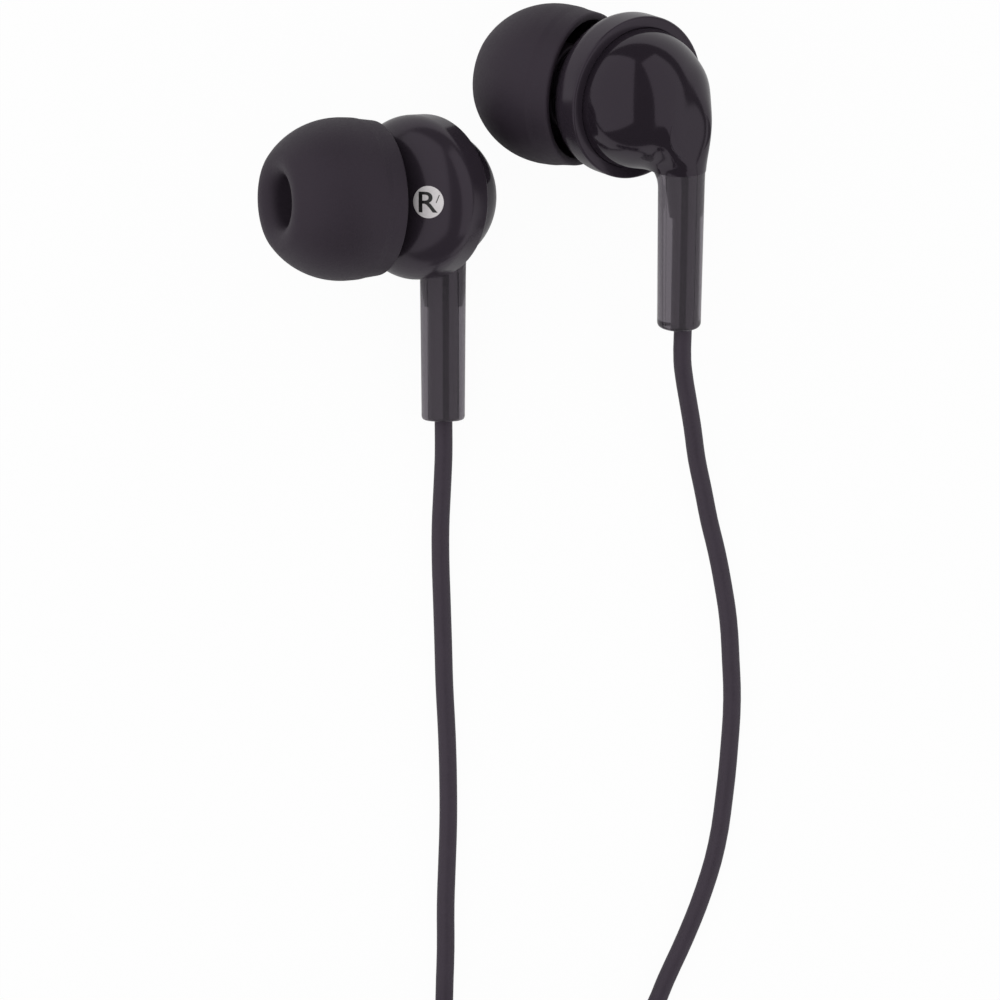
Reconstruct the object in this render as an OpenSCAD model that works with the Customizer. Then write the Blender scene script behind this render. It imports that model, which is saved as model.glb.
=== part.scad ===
// Wired in-ear earphones with a 3.5 mm stereo plug, lying flat. Millimetres, +Z up.
// Each earbud is drawn in its own frame: origin at the middle of the rim where its
// two shells meet, +Z along the housing axis towards the ear, -Y down the stem.

/* [Front housing] */
// Outer diameter of the front housing
housing_d = 12.6; // [12.4:0.1:13.4]
// Length of its straight side wall
side_len = 1.6; // [1.2:0.1:2.2]
// Depth of its domed front
front_depth = 3.4; // [3.2:0.1:3.8]
// Wall of the front housing
shell_wall = 0.9; // [0.7:0.05:1.1]
// Width of the rim that faces the back, outside the rear cover
rim_w = 0.9; // [0.6:0.05:1.2]
// Depth of the rebate that the rear cover sits in
rebate = 0.6; // [0.4:0.1:1]

/* [Nozzle] */
// Angle between the nozzle and the housing axis
cant = 20; // [14:1:21]
// Diameter of the nozzle shank
nozzle_d = 4.6; // [4.2:0.1:4.8]
// Diameter of the lip that the ear tip rides over
lip_d = 5.0; // [4.8:0.05:5.1]
// Bore of the nozzle
nozzle_bore = 3.2; // [2.6:0.1:3.4]
// Distance from the rim plane to the nozzle's end
nozzle_end = 10.2; // [9.6:0.1:10.8]
// Distance from the rim plane to the collar that stops the ear tip
collar_at = 5.8; // [5.6:0.1:6.4]
// Thickness of the wax screen
screen_t = 0.2; // [0.1:0.05:0.4]

/* [Ear tip] */
// Widest diameter of the silicone dome
tip_d = 12.4; // [11.5:0.1:13]
// Depth of its rounded front beyond the widest ring
tip_depth = 6.5; // [6.3:0.1:7]
// Diameter over the skirt's rim
tip_rim_d = 11.8; // [11.2:0.1:12]
// Length from the skirt's rim to its widest ring
skirt_len = 2.9; // [2.4:0.1:3.4]
// Distance from the housing's rim plane to the skirt's rim
tip_at = 4.6; // [4.5:0.1:5.4]
// Wall of the skirt
tip_wall = 0.6; // [0.4:0.05:0.8]
// Wall of the sleeve that grips the nozzle
sleeve_wall = 0.7; // [0.5:0.05:0.9]
// Sound hole diameter
hole_d = 3.8; // [3:0.1:4.2]
// Rounding of the mouth
mouth_r = 1.2; // [0.8:0.05:1.3]

/* [Rear cover and stem] */
// Depth of the rear dome behind the rim
dome_depth = 4.9; // [4.7:0.1:5.6]
// Wall of the rear cover
cover_wall = 0.8; // [0.6:0.05:1]
// Sideways shift of the arm from the housing axis
arm_shift = 1.8; // [1.6:0.1:2.2]
// Distance of the arm behind the rim
arm_back = 3.6; // [3.3:0.1:3.8]
// Distance of the round facet's middle below the housing axis
facet_drop = 1.8; // [1.6:0.1:2.2]
// Distance of the round facet's middle behind the rim
facet_back = 5.1; // [4.7:0.1:5.3]
// Tilt of the round facet, its lower edge further back
facet_tilt = 8; // [4:1:12]
// Diameter of the round facet at the elbow
facet_d = 4.1; // [3.8:0.1:4.4]
// Distance of the stem's upper end below the housing axis
stem_top = 5.2; // [5:0.1:6]
// Distance of the stem's lower end below the housing axis
stem_end = 17.7; // [14:0.1:22]
// Diameter of the clear stem at its lower end
stem_d = 3.4; // [3.2:0.1:3.7]
// Diameter of the clear stem at its upper end
stem_top_d = 3.6; // [3.4:0.1:3.9]
// Distance of the stem's own axis beside the cord inside it
stem_aside = 0.2; // [0:0.05:0.3]
// Distance of the stem's own axis in front of the cord inside it
stem_ahead = 0.25; // [0:0.05:0.3]
// Length of the tapered strain relief inside the stem
boot_len = 3.6; // [2:0.1:6]

/* [Driver] */
// Diameter of the driver frame
driver_d = 9.6; // [9.2:0.05:9.7]
// Height of the driver frame
driver_h = 1.6; // [1.5:0.05:1.8]
// Outer diameter of the steel yoke
yoke_d = 5.4; // [5:0.1:5.8]
// Height of the magnet
magnet_h = 1.0; // [0.8:0.05:1.1]
// Outer diameter of the diaphragm
diaphragm_d = 7.9; // [7.4:0.1:8]

/* [Layout] */
// Distance between the middles of the two earbuds, across
ear_gap = 16.05; // [15.5:0.05:20]
// Outer radius of the turns of the branch coils
branch_r = 8.8; // [8.4:0.1:9.6]
// Outer radius of the turns of the main coil
main_r = 11.6; // [11.4:0.1:12.4]

/* [Cords] */
// Cord diameter
cord_d = 1.4; // [1.2:0.05:1.5]
// Distance between neighbouring turns of a coil
turn_pitch = 1.86; // [1.82:0.02:1.96]
// Length of the splitter
splitter_len = 12; // [9:0.5:14]
// Width of the splitter
splitter_w = 5.4; // [5:0.1:6.4]
// Thickness of the splitter
splitter_h = 3.2; // [2.8:0.1:4]

/* [Plug] */
// Diameter of the plug's contacts
plug_d = 3.5; // [3.4:0.05:3.6]
// Length of the plug's contacts
plug_len = 14; // [13.5:0.1:14.5]
// Diameter of the plug's grip
grip_d = 6.4; // [5.6:0.1:7.2]
// Length of the plug's grip
grip_len = 14; // [11:0.5:16]
// Length of the plug's strain relief
relief_len = 6; // [4:0.5:7]

/* [Hidden] */
$fn = 48;
fit = 0.05;
seat_gap = 0.1;
RIGHT = 0;
LEFT = 1;
// Where each earbud lies: turned about its stem, then leaned back about X
TURN = [-42, -143];
LEAN = [8, 21];
CANT = [-cant, cant];
RIGHT_SPOT = [-4.33, 1.12];
SPOT = [RIGHT_SPOT, RIGHT_SPOT + [ear_gap, 7.3]];

housing_r = housing_d / 2;
rebate_r = housing_r - rim_w;
cover_r = rebate_r - fit;
cavity_r = driver_d / 2 + fit;
ledge_r = cavity_r - 0.7;
ledge_z = rebate + driver_h;
tip_r = tip_d / 2;
tip_mid = tip_at + skirt_len;
tip_bore_r = lip_d / 2 + fit;
sleeve_r = tip_bore_r + sleeve_wall;
hole_r = hole_d / 2;
mouth_a = acos((hole_r + mouth_r) / (tip_r - mouth_r));
mouth_z = tip_mid + (tip_depth - mouth_r) * sin(mouth_a);
facet_r = facet_d / 2;
stem_r = stem_d / 2;
stem_top_r = stem_top_d / 2;
cable_r = cord_d / 2;
yoke_r = yoke_d / 2;
yoke_wall = 0.36;
yoke_floor = 0.4;
plate_t = 0.45;
plate_z = rebate + 0.35 - plate_t;
magnet_z = plate_z - magnet_h;
plate_r = yoke_r - 0.85;
coil_ir = plate_r + 0.1;
coil_or = yoke_r - yoke_wall - 0.13;
membrane_z = rebate + 0.95;
membrane_t = 0.08;

// The left earbud leans on its tip, the right one lies on the end of its stem
stem_axis = [-arm_shift + stem_aside, 0, -arm_back + stem_ahead];
stem_foot = tilt_x(spin_y(stem_axis - [0, stem_end, 0], TURN[RIGHT]), LEAN[RIGHT]).z;
right_h = stem_r * cos(LEAN[RIGHT]) - stem_foot;
tip_down = -cos(LEAN[LEFT]) * cos(TURN[LEFT] + CANT[LEFT]);
left_h = tip_mid * tip_down + norm([tip_depth * tip_down, tip_r * sqrt(1 - tip_down * tip_down)]);
AT = [[SPOT[RIGHT].x, SPOT[RIGHT].y, right_h], [SPOT[LEFT].x, SPOT[LEFT].y, left_h]];

// ---- helpers ----

function spin_y(p, a) = [p.x * cos(a) + p.z * sin(a), p.y, p.z * cos(a) - p.x * sin(a)];
function tilt_x(p, a) = [p.x, p.y * cos(a) - p.z * sin(a), p.y * sin(a) + p.z * cos(a)];
function placed(side, p) = AT[side] + tilt_x(spin_y(p, TURN[side]), LEAN[side]);
function unit(v) = v / norm(v);
function arc(c, r, a0, a1, n) =
    [for (i = [0:n]) let (a = a0 + (a1 - a0) * i / n) [c.x + r * cos(a), c.y + r * sin(a)]];
function oval(c, rx, ry, a0, a1, n) =
    [for (i = [0:n]) let (a = a0 + (a1 - a0) * i / n) [c.x + rx * cos(a), c.y + ry * sin(a)]];

module earbud(side) {
    translate(AT[side]) rotate([LEAN[side], 0, 0]) rotate([0, TURN[side], 0]) children();
}

module canted(side) {
    rotate([0, CANT[side], 0]) children();
}

// Along the arm: children are drawn around +Z and end up around the cord's axis,
// with their z = 0 at the given distance below the housing axis, running down
module along_arm(drop) {
    translate([-arm_shift, -drop, -arm_back]) rotate([90, 0, 0]) children();
}

// The same around the stem's own axis, a little off the cord's
module along_stem(drop) {
    translate(stem_axis - [0, drop, 0]) rotate([90, 0, 0]) children();
}

module ring(r_out, r_in, z0, z1) {
    translate([0, 0, z0]) difference() {
        cylinder(h = z1 - z0, r = r_out);
        translate([0, 0, -1]) cylinder(h = z1 - z0 + 2, r = r_in);
    }
}

module rod(a, b, r) {
    v = b - a;
    translate(a) rotate([0, acos(v.z / norm(v)), atan2(v.y, v.x)])
        cylinder(h = norm(v), r = r, $fn = 16);
}

// ---- ear tip: an open umbrella on a sleeve that grips the nozzle ----

module ear_tip(side) {
    inner_r = tip_r - tip_wall;
    inner_depth = tip_depth - tip_wall;
    root_a = acos(sleeve_r / inner_r);
    root_z = tip_mid + inner_depth * sin(root_a);
    profile = concat(
        [[tip_bore_r, collar_at + seat_gap], [sleeve_r, collar_at + seat_gap]],
        [[sleeve_r, root_z - 0.01]],
        oval([0, tip_mid], inner_r, inner_depth, root_a, 0, 10),
        [[tip_rim_d / 2 - tip_wall, tip_at], [tip_rim_d / 2, tip_at]],
        [[(tip_rim_d + 2 * tip_d) / 6, tip_at + skirt_len / 2.4]],
        oval([0, tip_mid], tip_r, tip_depth, 0, mouth_a, 14),
        arc([hole_r + mouth_r, mouth_z], mouth_r, mouth_a + 15, 180, 7),
        [[hole_r, nozzle_end + seat_gap], [tip_bore_r, nozzle_end + seat_gap]]
    );
    color([0.19, 0.17, 0.2]) earbud(side) canted(side) rotate_extrude() polygon(profile);
}

// ---- front housing with its canted nozzle ----

module front_shape() {
    edge = 0.15;
    rotate_extrude() polygon(concat(
        [[0, 0], [housing_r - edge, 0], [housing_r, edge]],
        oval([0, side_len], housing_r, front_depth, 0, 90, 18)
    ));
}

module front_cavity() {
    inner_depth = front_depth - shell_wall;
    translate([0, 0, -1]) cylinder(h = rebate + 1, r = rebate_r);
    cylinder(h = ledge_z, r = cavity_r);
    rotate_extrude() polygon(concat(
        [[0, 0], [ledge_r, 0], [ledge_r, ledge_z]],
        oval([0, ledge_z], ledge_r, side_len + inner_depth - ledge_z, 10, 90, 10)
    ));
}

module nozzle_shape() {
    lip_len = 1.1;
    shank_r = nozzle_d / 2;
    collar_r = sleeve_r - 0.1;
    lip_z = nozzle_end - lip_len;
    rotate_extrude() polygon([
        [0, 2.6], [collar_r + 0.5, 2.6], [collar_r, collar_at], [shank_r, collar_at],
        [shank_r, lip_z - 0.3], [lip_d / 2, lip_z], [lip_d / 2, lip_z + 0.3],
        [shank_r - 0.15, nozzle_end], [0, nozzle_end]
    ]);
}

module front_housing(side) {
    color([0.13, 0.12, 0.14]) earbud(side) difference() {
        union() {
            front_shape();
            canted(side) nozzle_shape();
        }
        front_cavity();
        canted(side) translate([0, 0, 3]) cylinder(h = nozzle_end, r = nozzle_bore / 2);
        canted(side) translate([0, 0, nozzle_end - screen_t])
            cylinder(h = 1, r = nozzle_bore / 2 + 0.25);
    }
}

module nozzle_screen(side) {
    hole_pitch = 0.62;
    color("silver") earbud(side) canted(side) translate([0, 0, nozzle_end - screen_t])
        difference() {
            cylinder(h = screen_t, r = nozzle_bore / 2 + 0.25 - fit / 2);
            for (row = [0:2], i = [0:max(0, 6 * row - 1)])
                rotate(i * 60 / max(1, row)) translate([row * hole_pitch, 0, -1])
                    cylinder(h = 2, r = 0.16, $fn = 16);
        }
}

// ---- driver ----

module driver_frame(side) {
    color("dimgray") earbud(side) {
        ring(driver_d / 2, ledge_r - 0.1, rebate + 0.3, rebate + driver_h);
        ring(driver_d / 2, yoke_r + fit, rebate, rebate + 0.3);
    }
}

module driver_yoke(side) {
    color("lightsteelblue") earbud(side) difference() {
        translate([0, 0, magnet_z - yoke_floor])
            cylinder(h = yoke_floor + magnet_h + plate_t, r = yoke_r);
        translate([0, 0, magnet_z])
            cylinder(h = magnet_h + plate_t + 1, r = yoke_r - yoke_wall);
    }
}

module driver_magnet(side) {
    color("gray") earbud(side) translate([0, 0, magnet_z])
        cylinder(h = magnet_h, r = plate_r - 0.1);
}

module top_plate(side) {
    color("lightsteelblue") earbud(side) translate([0, 0, plate_z])
        cylinder(h = plate_t, r = plate_r);
}

module voice_coil(side) {
    color("peru") earbud(side) ring(coil_or, coil_ir, plate_z - 0.2, membrane_z);
}

// Domed middle on the voice coil, then a rolled surround out to the frame
module diaphragm(side) {
    edge_r = diaphragm_d / 2;
    roll_h = 0.4;
    dome_h = 0.5;
    roll_r = (edge_r - coil_or - 0.3) / 2;
    roll = [coil_or + 0.1 + roll_r, membrane_z];
    skin = membrane_t;
    color("gainsboro") earbud(side) rotate_extrude() polygon(concat(
        [[0, membrane_z + dome_h], [coil_ir / 2, membrane_z + 0.8 * dome_h]],
        [[coil_ir - skin, membrane_z], [roll.x - roll_r + skin, membrane_z]],
        oval(roll, roll_r - skin, roll_h, 150, 30, 6),
        [[roll.x + roll_r - skin, membrane_z], [edge_r, membrane_z], [edge_r, membrane_z + skin]],
        oval(roll + [0, skin], roll_r, roll_h, 0, 180, 8),
        [[coil_ir, membrane_z + skin], [coil_ir / 2, membrane_z + 0.8 * dome_h + skin]],
        [[0, membrane_z + dome_h + skin]]
    ));
}

board_t = 0.4;
board_z = magnet_z - yoke_floor - board_t;
pad_x = 0.8;

module terminal_board(side) {
    color("darkgreen") earbud(side) {
        translate([0, 0, board_z]) linear_extrude(height = board_t) intersection() {
            circle(r = yoke_r - 0.4);
            square([yoke_d, 2.6], center = true);
        }
        for (x = [-pad_x, pad_x]) translate([x, 0, board_z - 0.2]) cylinder(h = 0.2, r = 0.4);
    }
}

// ---- rear cover: a dome with the elbow that carries the stem ----

module dome_profile(r, depth) {
    polygon(concat([[0, rebate], [r, rebate]], oval([0, 0], r, depth, 0, -90, 18)));
}

module elbow_shape() {
    shoulder_r = 4;
    shoulder = [0.6 - arm_shift, 0.3, -0.9];
    proud = 0.12;
    hull() {
        translate(shoulder) sphere(r = shoulder_r, $fn = 36);
        on_facet() cylinder(h = 1, r = facet_r, $fn = 40);
        along_stem(stem_top - 0.4) cylinder(h = 0.4, r = stem_top_r + 0.04, $fn = 40);
    }
    on_facet() translate([0, 0, -proud]) cylinder(h = 2 * proud, r = facet_r - 0.05);
}

// The round facet at the elbow: children start on its plane and run inwards
module on_facet() {
    translate([0.8 - arm_shift, -facet_drop, -facet_back]) rotate([facet_tilt, 0, 0]) children();
}

// Web that rounds the corner between the dome's underside and the front of the arm
module elbow_web() {
    web_r = 1.3;
    web_w = 1.6;
    front_z = stem_axis.z + stem_top_r - 0.1;
    under = 5;
    translate([stem_axis.x - web_w / 2, 0, 0]) rotate([0, 90, 0]) rotate([0, 0, 180])
        linear_extrude(height = web_w) difference() {
            translate([front_z - 1, facet_drop]) square([web_r + 1, stem_top - facet_drop]);
            translate([front_z + web_r, under + web_r]) circle(r = web_r);
        }
}

module rear_cover(side) {
    color([0.11, 0.1, 0.12]) earbud(side) difference() {
        union() {
            rotate_extrude() dome_profile(cover_r, dome_depth);
            elbow_shape();
            elbow_web();
        }
        rotate_extrude() dome_profile(cover_r - cover_wall, dome_depth - cover_wall);
        translate([0, 0, rebate]) cylinder(h = 4, r = housing_r);
        along_arm(facet_drop) cylinder(h = stem_top, r = cable_r + fit);
    }
}

// ---- clear stem, strain relief and the cable inside it ----

boot_top_r = cable_r + 0.5;
boot_end_r = cable_r + 0.15;

module stem_sleeve(side) {
    edge = 0.4;
    len = stem_end - stem_top;
    color([0.45, 0.44, 0.47, 0.5]) earbud(side) difference() {
        along_stem(stem_top) rotate_extrude() polygon(concat(
            [[0, 0], [stem_top_r, 0], [stem_r, len - edge]],
            arc([stem_r - edge, len - edge], edge, 15, 90, 5),
            [[0, len]]
        ));
        along_arm(stem_top - 1) rotate_extrude() polygon([
            [0, 0], [boot_top_r + fit, 0], [boot_top_r + fit, 1],
            [boot_end_r + fit, 1 + boot_len], [cable_r + fit, 1 + boot_len],
            [cable_r + fit, len + 2], [0, len + 2]
        ]);
    }
}

module cable_boot(side) {
    color([0.1, 0.1, 0.1]) earbud(side) along_arm(stem_top) rotate_extrude()
        polygon([[cable_r + fit, 0], [boot_top_r, 0], [boot_end_r, boot_len], [cable_r + fit, boot_len]]);
}

module inner_lead(side) {
    jacket_top = facet_drop + 0.5;
    fork = [-arm_shift, -jacket_top, -arm_back];
    color([0.16, 0.15, 0.17]) earbud(side) {
        along_arm(jacket_top) cylinder(h = stem_end - jacket_top, r = cable_r);
        for (x = [-pad_x, pad_x])
            rod(fork + [sign(x) * 0.3, -0.1, 0], [x, 0, board_z - 0.2], 0.18);
    }
}

// ---- cords ----

// A tube through the points of a path, closed at both ends
module tube(path, d, sides) {
    n = len(path);
    function heading(i) = unit(path[min(i + 1, n - 1)] - path[max(i - 1, 0)]);
    rings = [for (i = [0:n - 1])
        let (t = heading(i), s = unit(cross(t, [0, 0, 1])), u = cross(s, t))
        for (k = [0:sides - 1])
            let (a = 360 * (k + 0.5) / sides)
            path[i] + d / 2 * (s * cos(a) + u * sin(a))];
    walls = [for (i = [0:n - 2], k = [0:sides - 1])
        let (a = i * sides + k, b = i * sides + (k + 1) % sides)
        for (f = [[a, b, b + sides], [a, b + sides, a + sides]]) f];
    last = (n - 1) * sides;
    caps = [for (k = [1:sides - 2]) for (f = [[0, k + 1, k], [last, last + k, last + k + 1]]) f];
    polyhedron(points = rings, faces = [for (f = concat(walls, caps)) [f[0], f[2], f[1]]]);
}

// A coil in four layers: it spirals in, climbs, spirals out, and so on.
// spot is its middle, turns its number of loops, first the angle where it starts,
// and way is -1 clockwise or 1 anticlockwise, seen from above
LAYERS = 4;
STEPS = 24;
tie_t = 0.3;
floor_z = tie_t + 0.05 + cable_r;

function ease(t) = let (c = min(1, max(0, t))) c * c * (3 - 2 * c);
function climbed(u, per) = [for (k = [1:LAYERS - 1]) ease((u - k * per + 0.25) / 0.5)] * [1, 1, 1];
function drawn_in(u, per) = let (v = u - 2 * per * floor(u / (2 * per))) min(v, 2 * per - v);
function wound(c, u) =
    let (a = c[3] + c[4] * 360 * u, per = c[2] / LAYERS, r = c[1] - turn_pitch * drawn_in(u, per))
    [c[0].x + r * cos(a), c[0].y + r * sin(a), floor_z + turn_pitch * climbed(u, per)];
// Points in line with a coil's two ends, a number of cord diameters outside it
function before(c, n) =
    let (a = c[3]) wound(c, 0) - n * cord_d * c[4] * [-sin(a), cos(a), 0];
function after(c, n) =
    let (a = c[3] + c[4] * 360 * c[2]) wound(c, c[2]) + n * cord_d * c[4] * [-sin(a), cos(a), 0];
function coil_path(c) =
    let (count = ceil(c[2] * STEPS))
    concat([before(c, 1)], [for (i = [0:count]) wound(c, c[2] * i / count)], [after(c, 1)]);
function least_gap(path) =
    min([for (i = [0:len(path) - 2 - STEPS / 2], j = [i + STEPS / 2:len(path) - 1])
        norm(path[i] - path[j])]) - cord_d;
function run(path) = [for (i = [1:len(path) - 1]) norm(path[i] - path[i - 1])] *
    [for (i = [1:len(path) - 1]) 1];

// middle, outer radius of the turns, loops, first angle, way round
right_loops = 6;
left_loops = 6.2;
main_loops = 16.75;
RIGHT_COIL = [[-10.6, -75], branch_r, right_loops, 10, -1];
LEFT_COIL = [[10.2, -76.4], branch_r, left_loops, 114, 1];
MAIN_COIL = [[-9.6, -119.5], main_r, main_loops, 0, -1];

module coil(c, label) {
    path = coil_path(c);
    echo(str(label, ": least gap ", least_gap(path), " mm, length ", run(path), " mm"));
    color([0.17, 0.16, 0.18]) tube(path, cord_d, 6);
}

// A flat band round one side of a coil, at the given angle
module coil_tie(c, angle) {
    band_w = 2.4;
    room = cable_r + 0.1;
    r_in = c[1] - turn_pitch * c[2] / LAYERS - room;
    r_out = c[1] + room;
    top = floor_z + turn_pitch * (LAYERS - 1) + room;
    color("black") translate([c[0].x, c[0].y, 0]) rotate([0, 0, angle]) rotate([90, 0, 0])
        translate([0, 0, -band_w / 2]) linear_extrude(height = band_w) difference() {
            translate([r_in - tie_t, 0]) square([r_out - r_in + 2 * tie_t, top + tie_t]);
            translate([r_in, tie_t]) square([r_out - r_in, top - tie_t]);
        }
}

low = cable_r;
right_exit = placed(RIGHT, [-arm_shift, -stem_end, -arm_back]);
left_exit = placed(LEFT, [-arm_shift, -stem_end, -arm_back]);
down_right = placed(RIGHT, [-arm_shift, -stem_end - 2 * cord_d, -arm_back]);
down_left = placed(LEFT, [-arm_shift, -stem_end - 2 * cord_d, -arm_back]);
splitter_y = -93;
splitter_z = splitter_h / 2;
branch_gap = 2.2;
splitter_x = -0.2;
function into_splitter(side) =
    [for (y = [2 * cord_d, 0]) [splitter_x + side * branch_gap / 2, splitter_y + y, splitter_z]];

right_route = concat([right_exit, down_right], [
    [-3.3, -19.8, 0.9], [-3.4, -21.9, 0.7], [-3.5, -24.2, low], [-3.5, -26.9, low],
    [-3.4, -30.1, low], [-3.3, -33.2, low], [-3.2, -36.7, low], [-3, -40.7, low],
    [-2.9, -44.6, low], [-2.9, -47.7, low], [-3, -50.9, low], [-3.1, -54, low],
    [-3.1, -57.5, low], [-3.2, -61.1, low], [-3.2, -64.3, low], [-2.8, -67.7, 0.8]
], [before(RIGHT_COIL, 2), before(RIGHT_COIL, 1)]);

left_route = concat([left_exit, down_left], [
    [15.5, -12.7, 3.8], [15.8, -14.3, 3.1], [16.2, -16.4, 2.2], [16.6, -19, 1.3],
    [17.1, -21.3, 0.8], [17.6, -23.8, low], [18.2, -26.3, low], [18.7, -28.9, low],
    [19.1, -31.6, low], [19.3, -34.8, low], [19.4, -37.9, low], [19.2, -41.4, low],
    [18.8, -45.4, low], [18.2, -49.3, low], [17.2, -52.8, low], [15.8, -56.4, low],
    [14.2, -59.9, low], [13.4, -61.8, low], [11.9, -64.5, low], [10.4, -66.4, 0.8]
], [before(LEFT_COIL, 2), before(LEFT_COIL, 1)]);

right_end_route = concat([after(RIGHT_COIL, 1), after(RIGHT_COIL, 2)], [
    [-1.5, -78.6, 6.5], [-1.5, -81.4, 5.6], [-1.4, -84.2, 4.2], [-1.3, -86.8, 2.8],
    [-1.3, -88.8, 1.9]
], into_splitter(-1));

left_end_route = concat([after(LEFT_COIL, 1), after(LEFT_COIL, 2)], [
    [1.7, -82, 6.1], [1.5, -84.2, 4.9], [1.2, -86.4, 3.5], [1.0, -88.4, 2.3]
], into_splitter(1));

main_route = concat([
    [splitter_x, splitter_y - splitter_len, splitter_z],
    [splitter_x, splitter_y - splitter_len - 2 * cord_d, splitter_z],
    [0.6, -110.8, 1.3], [1.5, -113.9, 1.1]
], [before(MAIN_COIL, 2), before(MAIN_COIL, 1)]);

// The plug lies beside the coil and points away from the earbuds
plug_x = 10;
plug_y = -117;
plug_z = grip_d / 2;
main_end_route = concat([after(MAIN_COIL, 1), after(MAIN_COIL, 2)], [
    [-3.6, -107.8, 6.6], [-0.4, -107.5, 6.4], [2.8, -107.5, 6], [5.8, -108.2, 5.3],
    [8.2, -110, 4.5], [9.6, -112.6, 3.7]
], [[plug_x, plug_y + cord_d, plug_z], [plug_x, plug_y, plug_z]]);

module cord(route, label) {
    echo(str(label, ": length ", run(route), " mm"));
    color([0.17, 0.16, 0.18]) tube(route, cord_d, 8);
}

// ---- splitter ----

module splitter() {
    neck = 2.2;
    body = splitter_len - 2 * neck;
    neck_r = cable_r + 0.45;
    color([0.12, 0.12, 0.13]) translate([splitter_x, splitter_y, splitter_z]) rotate([90, 0, 0]) {
        for (x = [-branch_gap / 2, branch_gap / 2]) translate([x, 0, 0])
            cylinder(h = neck + 1, r1 = neck_r - 0.2, r2 = neck_r);
        hull() for (z = [neck, neck + body - 1.5], x = [-1, 1])
            translate([x * (splitter_w - splitter_h) / 2, 0, z])
                cylinder(h = 1.5, r = splitter_h / 2, $fn = 40);
        translate([0, 0, splitter_len - neck - 0.5])
            cylinder(h = neck + 0.5, r1 = splitter_h / 2 - 0.1, r2 = neck_r - 0.1);
    }
}

// ---- plug: three contacts in line, two insulating rings, grip and relief ----

contact_r = plug_d / 2;
insulator_t = 0.7;
sleeve_len = plug_len - 7.3;
ring_len = 2.3;
grip_at = relief_len;
contact_at = grip_at + grip_len;

// Children are drawn around +Z, that far along the plug from where its cord goes in
module plug_axis(along) {
    translate([plug_x, plug_y - along, plug_z]) rotate([90, 0, 0]) children();
}

module plug_boot() {
    color([0.14, 0.13, 0.15]) plug_axis(0) rotate_extrude() polygon([
        [0, 0], [cable_r + 0.4, 0], [grip_d / 2 - 1.1, relief_len], [0, relief_len]
    ]);
}

module plug_grip() {
    edge = 0.5;
    r = grip_d / 2;
    color([0.11, 0.1, 0.12]) plug_axis(grip_at) rotate_extrude() polygon(concat(
        [[0, 0], [r - 0.8, 0], [r - 0.3, 0.6], [r, 2.4]],
        arc([r - edge, grip_len - edge], edge, 0, 90, 5),
        [[0, grip_len]]
    ));
}

module plug_sleeve() {
    flange_t = 0.6;
    color("gold") plug_axis(contact_at) {
        cylinder(h = flange_t, r = contact_r + 0.8);
        cylinder(h = sleeve_len, r = contact_r);
    }
}

module plug_insulators() {
    color("black") for (z = [sleeve_len, sleeve_len + insulator_t + ring_len])
        plug_axis(contact_at + z) cylinder(h = insulator_t, r = contact_r);
}

module plug_ring() {
    color("gold") plug_axis(contact_at + sleeve_len + insulator_t)
        cylinder(h = ring_len, r = contact_r);
}

module plug_tip() {
    start = sleeve_len + 2 * insulator_t + ring_len;
    len = plug_len - start;
    color("gold") plug_axis(contact_at + start) rotate_extrude() polygon([
        [0, 0], [contact_r - 0.35, 0], [contact_r - 0.6, 0.9], [contact_r, len - 1.7],
        [contact_r - 0.2, len - 1.2], [0.6, len - 0.1], [0, len]
    ]);
}

ear_tip(RIGHT);  // right_ear_tip
front_housing(RIGHT);  // right_front_housing
nozzle_screen(RIGHT);  // right_nozzle_screen
driver_frame(RIGHT);  // right_driver_frame
driver_yoke(RIGHT);  // right_driver_yoke
driver_magnet(RIGHT);  // right_driver_magnet
top_plate(RIGHT);  // right_top_plate
voice_coil(RIGHT);  // right_voice_coil
diaphragm(RIGHT);  // right_diaphragm
terminal_board(RIGHT);  // right_terminal_board
rear_cover(RIGHT);  // right_rear_cover
stem_sleeve(RIGHT);  // right_stem_sleeve
cable_boot(RIGHT);  // right_cable_boot
inner_lead(RIGHT);  // right_inner_lead
cord(right_route, "right_cord");  // right_cord
coil(RIGHT_COIL, "right_coil");  // right_coil
cord(right_end_route, "right_cord_end");  // right_cord_end
coil_tie(RIGHT_COIL, 180);  // right_coil_tie
ear_tip(LEFT);  // left_ear_tip
front_housing(LEFT);  // left_front_housing
nozzle_screen(LEFT);  // left_nozzle_screen
driver_frame(LEFT);  // left_driver_frame
driver_yoke(LEFT);  // left_driver_yoke
driver_magnet(LEFT);  // left_driver_magnet
top_plate(LEFT);  // left_top_plate
voice_coil(LEFT);  // left_voice_coil
diaphragm(LEFT);  // left_diaphragm
terminal_board(LEFT);  // left_terminal_board
rear_cover(LEFT);  // left_rear_cover
stem_sleeve(LEFT);  // left_stem_sleeve
cable_boot(LEFT);  // left_cable_boot
inner_lead(LEFT);  // left_inner_lead
cord(left_route, "left_cord");  // left_cord
coil(LEFT_COIL, "left_coil");  // left_coil
cord(left_end_route, "left_cord_end");  // left_cord_end
coil_tie(LEFT_COIL, 0);  // left_coil_tie
splitter();
cord(main_route, "main_cord_start");  // main_cord_start
coil(MAIN_COIL, "main_coil");  // main_coil
cord(main_end_route, "main_cord_end");  // main_cord_end
coil_tie(MAIN_COIL, 180);  // main_coil_tie
plug_boot();
plug_grip();
plug_sleeve();
plug_ring();
plug_tip();
plug_insulators();
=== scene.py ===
"""Looks of the wired in-ear earphones, lying flat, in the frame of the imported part: +Z up."""

import math
from collections import namedtuple

import bmesh
import bpy
from mathutils import Matrix, Vector


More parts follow.
